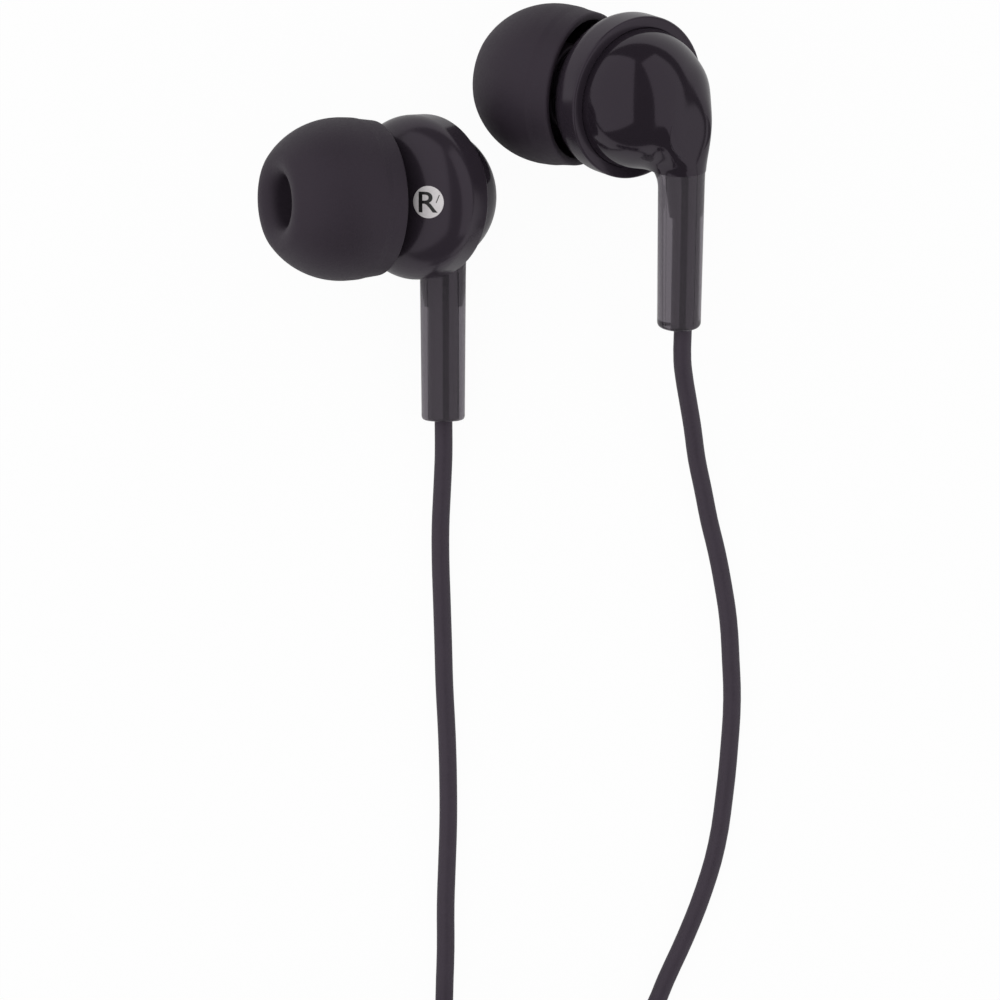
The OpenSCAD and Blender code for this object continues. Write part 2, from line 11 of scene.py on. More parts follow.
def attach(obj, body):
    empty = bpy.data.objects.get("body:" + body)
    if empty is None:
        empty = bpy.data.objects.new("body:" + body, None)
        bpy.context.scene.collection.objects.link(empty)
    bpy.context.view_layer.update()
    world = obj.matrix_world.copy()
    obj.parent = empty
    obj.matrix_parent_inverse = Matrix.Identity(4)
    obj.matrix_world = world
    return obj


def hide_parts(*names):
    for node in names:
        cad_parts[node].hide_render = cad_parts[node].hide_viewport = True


# Lengths are in millimetres and angles in degrees, unless a comment says otherwise
MM = 0.001
WELD = 1e-6  # metres: points closer than this are one
SIDES = ("right", "left")
TURN = {"right": -42, "left": -143}
LEAN = {"right": 8, "left": 21}
CANT = {"right": -20, "left": 20}
AT = {"right": (-4.33, 1.12, 7.672), "left": (11.72, 8.42, 10.093)}

HOUSING_R, REBATE, REBATE_R, SIDE_LEN, FRONT_DEPTH = 6.3, 0.6, 5.4, 1.6, 3.4
SHELL_WALL = 0.9
CORD_R, CORD_D = 0.7, 1.4

# The cord's axis in the stem, and how far the stem's own axis runs beside and in front of it
ARM_X, ARM_Z = -1.8, -3.6
ASIDE, AHEAD = 0.2, 0.25
# Heights below the housing's axis
STEM_TOP, STEM_END, LEAD_TOP = 5.2, 17.7, 2.3
STEM_TOP_R, STEM_R, STEM_BORE = 1.8, 1.7, 0.75
RELIEF_LEN = 3.6
COLLAR_R = STEM_TOP_R + 0.08
# The rounding between the arm and the dome
FLARE_R, FLARE_END, FLARE_REACH = 2.3, 6.55, 1.5

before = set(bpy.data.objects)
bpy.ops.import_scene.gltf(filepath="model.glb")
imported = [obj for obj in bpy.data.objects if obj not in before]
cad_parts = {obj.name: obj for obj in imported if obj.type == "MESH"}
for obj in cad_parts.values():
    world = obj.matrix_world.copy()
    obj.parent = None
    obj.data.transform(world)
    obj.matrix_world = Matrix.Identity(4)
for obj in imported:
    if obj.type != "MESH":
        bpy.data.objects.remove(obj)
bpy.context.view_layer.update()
scene = bpy.context.scene


# ---- camera, floor and light ----

def linked(name, data):
    obj = bpy.data.objects.new(name, data)
    scene.collection.objects.link(obj)
    return obj


def add_camera():
    """Straight above the earphones, with its place in metres."""
    data = bpy.data.cameras.new("camera")
    data.lens = 140.8
    data.sensor_width = 36
    data.clip_start = 0.01
    data.clip_end = 20
    camera = linked("camera", data)
    camera.location = (0.00117, -0.0222, 0.308)
    scene.camera = camera


def maths(tree, operation, *values):
    """The result of a math node on sockets and numbers."""
    node = tree.nodes.new("ShaderNodeMath")
    node.operation = operation
    for socket, value in zip(node.inputs, values):
        if isinstance(value, bpy.types.NodeSocket):
            tree.links.new(value, socket)
        else:
            socket.default_value = value
    return node.outputs[0]


def ray_kind(tree, *kinds):
    """1 for rays of any of the kinds, 0 for the others."""
    path = tree.nodes.new("ShaderNodeLightPath")
    found = path.outputs[kinds[0]]
    for kind in kinds[1:]:
        found = maths(tree, "MAXIMUM", found, path.outputs[kind])
    return found


def add_world():
    """White to look at, soft light for matt surfaces, a dim room for reflections."""
    for_matt, for_gloss, for_view = [(level, level, level, 1) for level in (0.6, 0.1, 1)]
    world = bpy.data.worlds.new("world")
    scene.world = world
    world.use_nodes = True
    tree = world.node_tree
    first = tree.nodes.new("ShaderNodeMix")
    second = tree.nodes.new("ShaderNodeMix")
    first.data_type = second.data_type = "RGBA"
    first.inputs["A"].default_value = for_matt
    first.inputs["B"].default_value = for_gloss
    second.inputs["B"].default_value = for_view
    tree.links.new(ray_kind(tree, "Is Glossy Ray"), first.inputs["Factor"])
    tree.links.new(ray_kind(tree, "Is Camera Ray", "Is Transmission Ray"),
                   second.inputs["Factor"])
    tree.links.new(first.outputs["Result"], second.inputs["A"])
    back = tree.nodes["Background"]
    tree.links.new(second.outputs["Result"], back.inputs["Color"])
    back.inputs["Strength"].default_value = 1


def add_floor():
    """White paper, 4 metres wide, which glows for the eye."""
    half_side, cloud_scale, greys, glow_share = 2, 30, (0.71, 0.73), 0.96
    bm = bmesh.new()
    bmesh.ops.create_grid(bm, x_segments=1, y_segments=1, size=half_side)
    mesh = bpy.data.meshes.new("floor")
    bm.to_mesh(mesh)
    bm.free()
    floor = linked("floor", mesh)
    mat = bpy.data.materials.new("white floor")
    mat.use_nodes = True
    tree = mat.node_tree
    tree.nodes.remove(tree.nodes["Principled BSDF"])
    coord = tree.nodes.new("ShaderNodeTexCoord")
    noise = tree.nodes.new("ShaderNodeTexNoise")
    noise.inputs["Scale"].default_value = cloud_scale
    tree.links.new(coord.outputs["Object"], noise.inputs["Vector"])
    ramp = tree.nodes.new("ShaderNodeMapRange")
    ramp.inputs["To Min"].default_value, ramp.inputs["To Max"].default_value = greys
    tree.links.new(noise.outputs["Fac"], ramp.inputs["Value"])
    paper = tree.nodes.new("ShaderNodeBsdfDiffuse")
    tree.links.new(ramp.outputs["Result"], paper.inputs["Color"])
    glow = tree.nodes.new("ShaderNodeEmission")
    glow.inputs["Strength"].default_value = 1
    mix = tree.nodes.new("ShaderNodeMixShader")
    seen = ray_kind(tree, "Is Camera Ray", "Is Transmission Ray")
    tree.links.new(maths(tree, "MULTIPLY", seen, glow_share), mix.inputs["Fac"])
    tree.links.new(paper.outputs[0], mix.inputs[1])
    tree.links.new(glow.outputs[0], mix.inputs[2])
    tree.links.new(mix.outputs[0], tree.nodes["Material Output"].inputs["Surface"])
    mesh.materials.append(mat)


def add_softbox(name, place, aim, size, roll):
    """An even panel, with place, aim and size in metres."""
    radiance = 0.65
    data = bpy.data.lights.new(name, "AREA")
    data.shape = "RECTANGLE"
    data.size, data.size_y = size
    data.energy = radiance * math.pi * size[0] * size[1]
    lamp = linked(name, data)
    lamp.location = place
    turn = (Vector(aim) - Vector(place)).to_track_quat("-Z", "X").to_matrix()
    lamp.rotation_euler = (turn @ Matrix.Rotation(math.radians(roll), 3, "Z")).to_euler()


# ---- places ----

def moved(x, y, z):
    return Matrix.Translation(Vector((x, y, z)) * MM)


def turned(degrees, axis):
    return Matrix.Rotation(math.radians(degrees), 4, axis)


def along_y(x, y, z):
    """Z runs along -Y from that point, which is down the arm of an earbud."""
    return moved(x, y, z) @ turned(90, "X")


def earbud(side):
    """Z runs along the housing's axis towards the front, from the seam of the two shells."""
    return moved(*AT[side]) @ turned(LEAN[side], "X") @ turned(TURN[side], "Y")


def nozzle(side):
    return earbud(side) @ turned(CANT[side], "Y")


def stem(side, drop):
    """Z runs down the cord in the stem, from that far below the housing's axis."""
    return earbud(side) @ along_y(ARM_X, -drop, ARM_Z)


def placed(side, point):
    return tuple(v / MM for v in earbud(side) @ (Vector(point) * MM))


ARM = along_y(ARM_X + ASIDE, 0, ARM_Z + AHEAD)
FACET, FACET_R = moved(0.8 + ARM_X, -1.8, -5.02) @ turned(4.5, "X"), 2.2


# ---- shapes ----

def rounded(points):
    """An outline through (x, z, radius) corners, with each corner rounded off."""
    steps, most = 5, 0.48  # most of a side's length that one corner takes
    out = []
    for i, (x, z, radius) in enumerate(points):
        corner = Vector((x, z))
        if not radius:
            out.append((x, z))
            continue
        back = Vector(points[i - 1][:2]) - corner
        ahead = Vector(points[(i + 1) % len(points)][:2]) - corner
        reach = radius / math.tan(back.angle(ahead) / 2)
        a = corner + back.normalized() * min(reach, most * back.length)
        b = corner + ahead.normalized() * min(reach, most * ahead.length)
        for k in range(steps + 1):
            t = k / steps
            out.append(tuple(a * (1 - t) ** 2 + corner * 2 * t * (1 - t) + b * t * t))
    return out


def arc(cx, cz, rx, rz, start, end, steps):
    turn = [math.radians(start + (end - start) * k / steps) for k in range(steps + 1)]
    return [(cx + rx * math.cos(a), cz + rz * math.sin(a)) for a in turn]


def ring_of(bm, points):
    """A closed loop of edges through the points."""
    verts = [bm.verts.new(Vector(point) * MM) for point in points]
    return [bm.edges.new(pair) for pair in zip(verts, verts[1:] + verts[:1])]


def spin_into(bm, outline, steps=96, place=Matrix.Identity(4), closed=True):
    """A full turn of an outline of (r, z) points round Z, then put in place."""
    made = [bm.verts.new((r * MM, 0, z * MM)) for r, z in outline]
    pairs = list(zip(made, made[1:])) + ([(made[-1], made[0])] if closed else [])
    edges = [bm.edges.new(pair) for pair in pairs]
    before = set(bm.verts) - set(made)
    bmesh.ops.spin(bm, geom=made + edges, cent=(0, 0, 0), axis=(0, 0, 1), angle=2 * math.pi,
                   steps=steps, use_merge=True, use_duplicate=False)
    new = [v for v in bm.verts if v not in before]
    bmesh.ops.transform(bm, matrix=place, verts=new)


def thicken(bm, faces, by):
    """Extrude the faces and shift their far side; by is in the units of the points."""
    out = bmesh.ops.extrude_face_region(bm, geom=faces)["geom"]
    bmesh.ops.translate(bm, vec=by, verts=[g for g in out if isinstance(g, bmesh.types.BMVert)])


def tidy(bm):
    bmesh.ops.remove_doubles(bm, verts=bm.verts, dist=WELD)
    bmesh.ops.recalc_face_normals(bm, faces=bm.faces)


def smooth(mesh, sharp=38):
    """Smooth shading, with the edges that turn by more than that angle kept sharp."""
    for face in mesh.polygons:
        face.use_smooth = True
    mesh.set_sharp_from_angle(angle=math.radians(sharp))


def to_object(bm, name, mat=None):
    tidy(bm)
    mesh = bpy.data.meshes.new(name)
    bm.to_mesh(mesh)
    bm.free()
    smooth(mesh)
    if mat:
        mesh.materials.append(mat)
    return linked(name, mesh)


def baked(obj):
    """A new mesh of the object as its modifiers or its outline make it."""
    bpy.context.view_layer.update()
    return bpy.data.meshes.new_from_object(
        obj.evaluated_get(bpy.context.evaluated_depsgraph_get()))


def belongs(obj, nodes, body="earphones"):
    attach(obj, body)
    if nodes:
        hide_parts(*nodes)


def piece(bm, name, mat, nodes=(), body="earphones"):
    obj = to_object(bm, name, mat)
    shade = obj.modifiers.new("shading", "WEIGHTED_NORMAL")
    shade.keep_sharp = True
    belongs(obj, nodes, body)
    return obj


# ---- materials ----

def grain_group():
    """Colour, roughness and height that wander a little over a surface."""
    group = bpy.data.node_groups.new("surface grain", "ShaderNodeTree")
    face = group.interface
    face.new_socket("Colour", in_out="INPUT", socket_type="NodeSocketColor")
    for label in ("Roughness", "Spread", "Cloud Scale", "Grain Scale"):
        face.new_socket(label, in_out="INPUT", socket_type="NodeSocketFloat")
    face.new_socket("Colour", in_out="OUTPUT", socket_type="NodeSocketColor")
    for label in ("Roughness", "Height"):
        face.new_socket(label, in_out="OUTPUT", socket_type="NodeSocketFloat")
    nodes, link = group.nodes, group.links.new
    come, go = nodes.new("NodeGroupInput"), nodes.new("NodeGroupOutput")
    coord = nodes.new("ShaderNodeTexCoord")
    found = []
    for label, detail in (("Cloud Scale", 3), ("Grain Scale", 2)):
        noise = nodes.new("ShaderNodeTexNoise")
        noise.inputs["Detail"].default_value = detail
        link(coord.outputs["Object"], noise.inputs["Vector"])
        link(come.outputs[label], noise.inputs["Scale"])
        found.append(noise.outputs["Fac"])
    # Both run from 0 to 1, so their sum less 1 goes either way from nothing
    centred = maths(group, "SUBTRACT", maths(group, "ADD", *found), 1)
    factor = maths(group, "MULTIPLY_ADD", centred, come.outputs["Spread"], 1)
    tint = nodes.new("ShaderNodeVectorMath")
    tint.operation = "SCALE"
    link(come.outputs["Colour"], tint.inputs[0])
    link(factor, tint.inputs["Scale"])
    link(tint.outputs[0], go.inputs["Colour"])
    link(maths(group, "MULTIPLY", come.outputs["Roughness"], factor), go.inputs["Roughness"])
    link(found[1], go.inputs["Height"])
    return group


GRAIN = grain_group()


def surface(name, colour, rough, spread, clouds, grain, bump=0, plain=None):
    """Clouds and grain are scales of noise, bump is the grain's height."""
    mat = bpy.data.materials.new(name)
    mat.use_nodes = True
    tree = mat.node_tree
    shader = tree.nodes["Principled BSDF"]
    group = tree.nodes.new("ShaderNodeGroup")
    group.node_tree = GRAIN
    for label, value in (("Colour", (*colour, 1)), ("Roughness", rough), ("Spread", spread),
                         ("Cloud Scale", clouds), ("Grain Scale", grain)):
        group.inputs[label].default_value = value
    tree.links.new(group.outputs["Colour"], shader.inputs["Base Color"])
    tree.links.new(group.outputs["Roughness"], shader.inputs["Roughness"])
    if bump:
        raised = tree.nodes.new("ShaderNodeBump")
        raised.inputs["Strength"].default_value = 1
        raised.inputs["Distance"].default_value = bump * MM
        tree.links.new(group.outputs["Height"], raised.inputs["Height"])
        tree.links.new(raised.outputs["Normal"], shader.inputs["Normal"])
    for label, value in (plain or {}).items():
        shader.inputs[label].default_value = value
    return mat


METAL = {"Metallic": 1}
TINGE = {"Specular Tint": (0.97, 0.84, 1.0, 1)}
# name, colour, roughness, spread, clouds, grain, bump
SILICONE = surface("soft black silicone", (0.02, 0.0145, 0.0215), 0.6, 0.3, 260, 5000, 0.01,
                   plain=TINGE)
SHELL = surface("glossy black shell", (0.0225, 0.0175, 0.024), 0.2, 0.08, 400, 3000,
                plain={"Specular IOR Level": 0.42, **TINGE})
COVER = surface("glossy black cover", (0.0145, 0.011, 0.0155), 0.12, 0.12, 400, 3000,
                plain={"Specular IOR Level": 0.47, **TINGE})
CORD = surface("matt black cord", (0.033, 0.0255, 0.0355), 0.55, 0.3, 600, 5000, 0.012,
               plain=TINGE)
CLEAR = surface("smoky clear tube", (0.15, 0.136, 0.154), 0.06, 0.06, 500, 3000,
                plain={"Transmission Weight": 0.8, "IOR": 1.46, **TINGE})
DISC = surface("pale grey print", (0.635, 0.605, 0.615), 0.4, 0.16, 1500, 6000)
LETTER = surface("black print", (0.012, 0.011, 0.012), 0.35, 0.1, 900, 5000)
BOOT = surface("black rubber", (0.011, 0.0095, 0.0112), 0.5, 0.25, 500, 5000, 0.01)
BLACK = surface("black moulding", (0.013, 0.0115, 0.0135), 0.35, 0.2, 400, 5000, 0.008)
GOLD = surface("gold plating", (0.83, 0.62, 0.3), 0.22, 0.15, 500, 4000, plain=METAL)
STEEL = surface("bright steel", (0.56, 0.56, 0.58), 0.28, 0.15, 500, 4000, plain=METAL)
MAGNET = surface("nickel plating", (0.5, 0.49, 0.47), 0.3, 0.15, 500, 4000, plain=METAL)
GREY = surface("grey plastic", (0.12, 0.12, 0.125), 0.45, 0.15, 500, 4000)
COPPER = surface("copper winding", (0.72, 0.36, 0.2), 0.35, 0.2, 900, 9000, plain=METAL)
FILM = surface("clear film", (0.75, 0.74, 0.7), 0.25, 0.08, 500, 3000)
GREEN = surface("green board", (0.03, 0.14, 0.06), 0.4, 0.2, 700, 5000)


# ---- cords ----

# First is the angle that a coil begins at, way is 1 for anticlockwise
Coil = namedtuple("Coil", "x y radius loops first way")
RIGHT_COIL = Coil(-10.6, -75, 8.8, 6, 10, -1)
LEFT_COIL = Coil(10.2, -76.4, 8.8, 6.2, 114, 1)
MAIN_COIL = Coil(-9.6, -119.5, 11.6, 16.75, 0, -1)
# CLIMB is the part of a turn in which the cord rises to the next layer
PITCH, LOWEST, LAYERS, CLIMB, STEPS_PER_LOOP = 1.86, 1.05, 4, 0.5, 24

SPLIT_X, SPLIT_Y, SPLIT_Z, SPLIT_LEN = -0.2, -93, 1.6, 12
BRANCH_X = 1.1  # from the splitter's middle to each branch
PLUG_X, PLUG_Y, PLUG_Z = 10, -117, 3.2


def ease(t):
    t = min(1, max(0, t))
    return t * t * (3 - 2 * t)


def wound(coil, u):
    """The point of a coil after u loops: each layer winds the other way in or out."""
    per = coil.loops / LAYERS
    climbed = sum(ease((u - k * per + CLIMB / 2) / CLIMB) for k in range(1, LAYERS))
    into = u - 2 * per * math.floor(u / (2 * per))
    r = coil.radius - PITCH * min(into, 2 * per - into)
    a = math.radians(coil.first + coil.way * 360 * u)
    return (coil.x + r * math.cos(a), coil.y + r * math.sin(a), LOWEST + PITCH * climbed)


def outside(coil, u, n):
    """A point in line with the coil's end at u, n diameters before (negative) or after it."""
    a = math.radians(coil.first + coil.way * 360 * u)
    x, y, z = wound(coil, u)
    step = n * CORD_D * coil.way
    return (x - step * math.sin(a), y + step * math.cos(a), z)


def coil_path(coil):
    count = math.ceil(coil.loops * STEPS_PER_LOOP)
    return ([outside(coil, 0, -2), outside(coil, 0, -1)]
            + [wound(coil, coil.loops * i / count) for i in range(count + 1)]
            + [outside(coil, coil.loops, 1), outside(coil, coil.loops, 2)])


def first_points(side):
    """Straight out of the stem's end."""
    return [placed(side, (ARM_X, -STEM_END - d, ARM_Z)) for d in (0, 2 * CORD_D)]


def into_splitter(way):
    return [(SPLIT_X + way * BRANCH_X, SPLIT_Y + d, SPLIT_Z) for d in (2 * CORD_D, 0)]


RIGHT_ROUTE = first_points("right") + [
    (-3.3, -19.8, 0.9), (-3.4, -21.9, 0.7), (-3.5, -24.2, 0.7), (-3.5, -26.9, 0.7),
    (-3.4, -30.1, 0.7), (-3.3, -33.2, 0.7), (-3.2, -36.7, 0.7), (-3, -40.7, 0.7),
    (-2.9, -44.6, 0.7), (-2.9, -47.7, 0.7), (-3, -50.9, 0.7), (-3.1, -54, 0.7),
    (-3.1, -57.5, 0.7), (-3.2, -61.1, 0.7), (-3.2, -64.3, 0.7), (-2.8, -67.7, 0.8)]
LEFT_ROUTE = first_points("left") + [
    (15.5, -12.7, 3.8), (15.8, -14.3, 3.1), (16.2, -16.4, 2.2), (16.6, -19, 1.3),
    (17.1, -21.3, 0.8), (17.6, -23.8, 0.7), (18.2, -26.3, 0.7), (18.7, -28.9, 0.7),
    (19.1, -31.6, 0.7), (19.3, -34.8, 0.7), (19.4, -37.9, 0.7), (19.2, -41.4, 0.7),
    (18.8, -45.4, 0.7), (18.2, -49.3, 0.7), (17.2, -52.8, 0.7), (15.8, -56.4, 0.7),
    (14.2, -59.9, 0.7), (13.4, -61.8, 0.7), (11.9, -64.5, 0.7), (10.4, -66.4, 0.8)]
RIGHT_END = [(-1.5, -78.6, 6.5), (-1.5, -81.4, 5.6), (-1.4, -84.2, 4.2), (-1.3, -86.8, 2.8),
             (-1.3, -88.8, 1.9)] + into_splitter(-1)
LEFT_END = [(1.7, -82, 6.1), (1.5, -84.2, 4.9), (1.2, -86.4, 3.5),
            (1.0, -88.4, 2.3)] + into_splitter(1)
MAIN_START = [(SPLIT_X, SPLIT_Y - SPLIT_LEN, SPLIT_Z),
              (SPLIT_X, SPLIT_Y - SPLIT_LEN - 2 * CORD_D, SPLIT_Z),
              (0.6, -110.8, 1.3), (1.5, -113.9, 1.1)]
MAIN_END = [(-3.6, -107.8, 6.6), (-0.4, -107.5, 6.4), (2.8, -107.5, 6), (5.8, -108.2, 5.3),
            (8.2, -110, 4.5), (9.6, -112.6, 3.7), (PLUG_X, PLUG_Y + CORD_D, PLUG_Z),
            (PLUG_X, PLUG_Y, PLUG_Z)]


def add_cord(name, points, nodes):
    curve = bpy.data.curves.new(name, "CURVE")
    curve.dimensions = "3D"
    curve.bevel_depth = CORD_R * MM
    curve.bevel_resolution = 4
    curve.resolution_u = 3
    curve.use_fill_caps = True
    spline = curve.splines.new("BEZIER")
    spline.bezier_points.add(len(points) - 1)
    for knot, point in zip(spline.bezier_points, points):
        knot.co = Vector(point) * MM
        knot.handle_left_type = knot.handle_right_type = "AUTO"
    curve.materials.append(CORD)
    obj = linked(name, curve)
    belongs(obj, nodes)
    return obj


# ---- the pieces of one earbud ----

def add_ear_tip(side):
    mid, r_out, deep_out, wall = 7.5, 6.2, 6.5, 0.6
    r_in, deep_in = r_out - wall, deep_out - wall
    foot, bore_end, sleeve_r, bore_r, hole_r, lip = 5.9, 10.3, 3.3, 2.6, 1.9, 1.2
    mouth_a = math.degrees(math.acos((hole_r + lip) / (r_out - lip)))
    mouth_z = mid + (deep_out - lip) * math.sin(math.radians(mouth_a))
    root_a = math.degrees(math.acos(sleeve_r / r_in))
    # The arcs start or end a few degrees off, where they meet what is next to them
    outline = rounded([
        (bore_r, bore_end, 0), (bore_r, foot, 0.2), (sleeve_r, foot, 0.2),
        (sleeve_r, mid + deep_in * math.sin(math.radians(root_a)) - 0.02, 0)])
    outline += arc(0, mid, r_in, deep_in, root_a - 3, 0, 20)
    # The skirt's hem, which a soft crease sets off from the dome
    outline += rounded([
        (5.5, 6.6, 0), (5.3, 4.6, 0.25), (5.9, 4.6, 0.25), (6.05, 5.9, 0.6), (6.15, 6.4, 0.6),
        (6.18, 6.8, 0)])
    outline += arc(0, mid, r_out, deep_out, 0, mouth_a, 40)
    outline += arc(hole_r + lip, mouth_z, lip, lip, mouth_a + 8, 180, 16)
    outline += [(hole_r, bore_end)]
    bm = bmesh.new()
    spin_into(bm, outline, 128, nozzle(side))
    piece(bm, side + "_silicone_tip", SILICONE, [side + "_ear_tip"],
          body=side + "_ear_tip_body")


def add_front_shell(side):
    bore, mouth, seat = 1.6, 10.2, 10.0
    bm = bmesh.new()
    spin_into(bm, rounded([
        (bore, 3, 0), (3.7, 3, 0), (3.2, 5.8, 0.1), (2.3, 5.8, 0.1), (2.3, 8.8, 0.1),
        (2.5, 9.1, 0.1), (2.5, 9.4, 0.1), (2.15, mouth, 0.1), (bore + 0.25, mouth, 0),
        (bore + 0.25, seat, 0), (bore, seat, 0)]))
    # The canted nozzle's root ends inside the wall of the dome, and follows its slant
    below, bore_root, skin_root, slant = 4, 4.1, 3.5, 0.7
    cant = math.radians(CANT[side])
    for v in bm.verts:
        if v.co.z < below * MM:
            root = bore_root if v.co.xy.length < 2 * MM else skin_root
            v.co.z = (root * MM + slant * v.co.x * math.sin(cant)) / math.cos(cant)
    bmesh.ops.transform(bm, matrix=nozzle(side), verts=bm.verts)
    ledge_r, ledge_z, cavity_r = 4.15, 2.2, 4.85
    crown = SIDE_LEN + FRONT_DEPTH
    outline = [(0, crown - SHELL_WALL), (0, crown)]
    outline += arc(0, SIDE_LEN, HOUSING_R, FRONT_DEPTH, 89.5, 0, 48)
    outline += rounded([
        (HOUSING_R, SIDE_LEN - 0.2, 0), (HOUSING_R, 0, 0.22), (REBATE_R, 0, 0.12),
        (REBATE_R, REBATE, 0), (cavity_r, REBATE, 0), (cavity_r, ledge_z, 0),
        (ledge_r, ledge_z, 0)])
    outline += arc(0, ledge_z, ledge_r, crown - SHELL_WALL - ledge_z, 8, 89, 20)
    spin_into(bm, outline, 128, earbud(side))
    piece(bm, side + "_front_shell", SHELL, [side + "_front_housing"])


def flared(v, radius, drop):
    """Spread a point of the arm's ring outwards: most on the side of the front shell."""
    away = Vector((v.x, v.y))
    if away.length < WELD or drop > FLARE_END:
        return v
    away.normalize()
    leap = FLARE_R - math.sqrt(FLARE_R ** 2 - min(FLARE_R, FLARE_END - drop) ** 2)
    reach = (radius + leap * FLARE_REACH * ((1 + away.y) / 2) ** 2) * MM
    return Vector((away.x * reach, away.y * reach, v.z))


def skirt_into(bm):
    """The lower end of the cover, widening upwards into the dome."""
    rings = []
    for drop in (4.4, 4.45, 4.55, 4.7, 4.9, 5.1, 5.3, 5.6, 5.9, 6.2, FLARE_END, 7):
        made = bmesh.ops.create_circle(bm, segments=64, radius=COLLAR_R * MM)["verts"]
        for v in made:
            v.co = ARM @ (flared(v.co, COLLAR_R, drop) + Vector((0, 0, drop * MM)))
        rings.append(list({e for v in made for e in v.link_edges}))
    for above, below in zip(rings, rings[1:]):
        bmesh.ops.bridge_loops(bm, edges=above + below)
    for end in (rings[0], rings[-1]):
        bmesh.ops.edgeloop_fill(bm, edges=end)


def elbow_into(bm):
    """The skin round the shoulder, the round facet and the top of the stem."""
    elbow = bmesh.new()
    bmesh.ops.create_uvsphere(elbow, u_segments=64, v_segments=40, radius=4 * MM,
                              matrix=moved(0.6 + ARM_X, 0.3, -0.9))
    for place, radius, height in (
            (FACET, FACET_R, -0.12), (FACET, FACET_R + 0.1, 1),
            (ARM, COLLAR_R, STEM_TOP - 0.7), (ARM, COLLAR_R, STEM_TOP - 0.2)):
        bmesh.ops.create_circle(elbow, segments=64, radius=radius * MM,
                                matrix=place @ moved(0, 0, height))
    hull = bmesh.ops.convex_hull(elbow, input=elbow.verts)
    spare = {g for g in hull["geom_interior"] + hull["geom_unused"]
             if isinstance(g, bmesh.types.BMVert)}
    bmesh.ops.delete(elbow, geom=list(spare), context="VERTS")
    mesh = bpy.data.meshes.new("elbow")
    elbow.to_mesh(mesh)
    elbow.free()
    bm.from_mesh(mesh)
    bpy.data.meshes.remove(mesh)


def cover_cutters(r, depth):
    """The room inside the cover, the cord's way through it and the seat of the stem."""
    room, bore = bmesh.new(), bmesh.new()
    beyond, above, below, mouth_r = 8, 4, 9, 3.4
    spin_into(room, [(0, above), (beyond, above), (beyond, REBATE), (r, REBATE)]
              + arc(0, 0, r, depth, 0, -90, 32), 64)
    spin_into(bore, [(0, 1.8), (STEM_BORE, 1.8), (STEM_BORE, STEM_TOP), (mouth_r, STEM_TOP),
                     (mouth_r, below), (0, below)], 48, along_y(ARM_X, 0, ARM_Z))
    return [to_object(room, "room"), to_object(bore, "bore")]


def add_rear_cover(side):
    """The dome and its elbow flow into one another, and are hollow like the moulding."""
    # The skin is made a little too large, by what the softening takes off it
    r, depth, wall, rise = REBATE_R + 0.05, 5.06, 0.95, 2
    bm = bmesh.new()
    spin_into(bm, [(0, rise), (r, rise)] + arc(0, 0, r, depth, 0, -90, 48))
    elbow_into(bm)
    skirt_into(bm)
    rough = to_object(bm, "rough cover")
    remesh = rough.modifiers.new("one skin", "REMESH")
    remesh.mode = "VOXEL"
    remesh.voxel_size = 0.11 * MM
    remesh.use_smooth_shade = True
    ease_off = rough.modifiers.new("softened", "SMOOTH")
    ease_off.factor = 0.5
    ease_off.iterations = 220
    cutters = cover_cutters(r - wall, depth - wall)
    for cutter in cutters:
        cut = rough.modifiers.new("cut", "BOOLEAN")
        cut.operation = "DIFFERENCE"
        cut.solver = "EXACT"
        cut.object = cutter
    shape = baked(rough)
    # Slivers of the cuts are taken out, so that the skin stays closed
    bm = bmesh.new()
    bm.from_mesh(shape)
    bmesh.ops.dissolve_degenerate(bm, dist=WELD, edges=bm.edges)
    bmesh.ops.triangulate(bm, faces=[f for f in bm.faces if len(f.verts) > 4])
    bmesh.ops.dissolve_degenerate(bm, dist=WELD, edges=bm.edges)
    bm.to_mesh(shape)
    bm.free()
    for spent in [rough] + cutters:
        old = spent.data
        bpy.data.objects.remove(spent)
        bpy.data.meshes.remove(old)
    shape.transform(earbud(side))
    shape.name = side + "_rear_shell"
    shape.materials.clear()
    shape.materials.append(COVER)
    smooth(shape, sharp=50)
    belongs(linked(side + "_rear_shell", shape), [side + "_rear_cover"])
    cap, cap_r, proud, deep = bmesh.new(), 2.0, -0.07, 0.3
    spin_into(cap, rounded([(0, proud, 0), (cap_r, proud, 0.06), (cap_r, deep, 0), (0, deep, 0)]),
              96, earbud(side) @ FACET)
    piece(cap, side + "_elbow_facet", COVER)


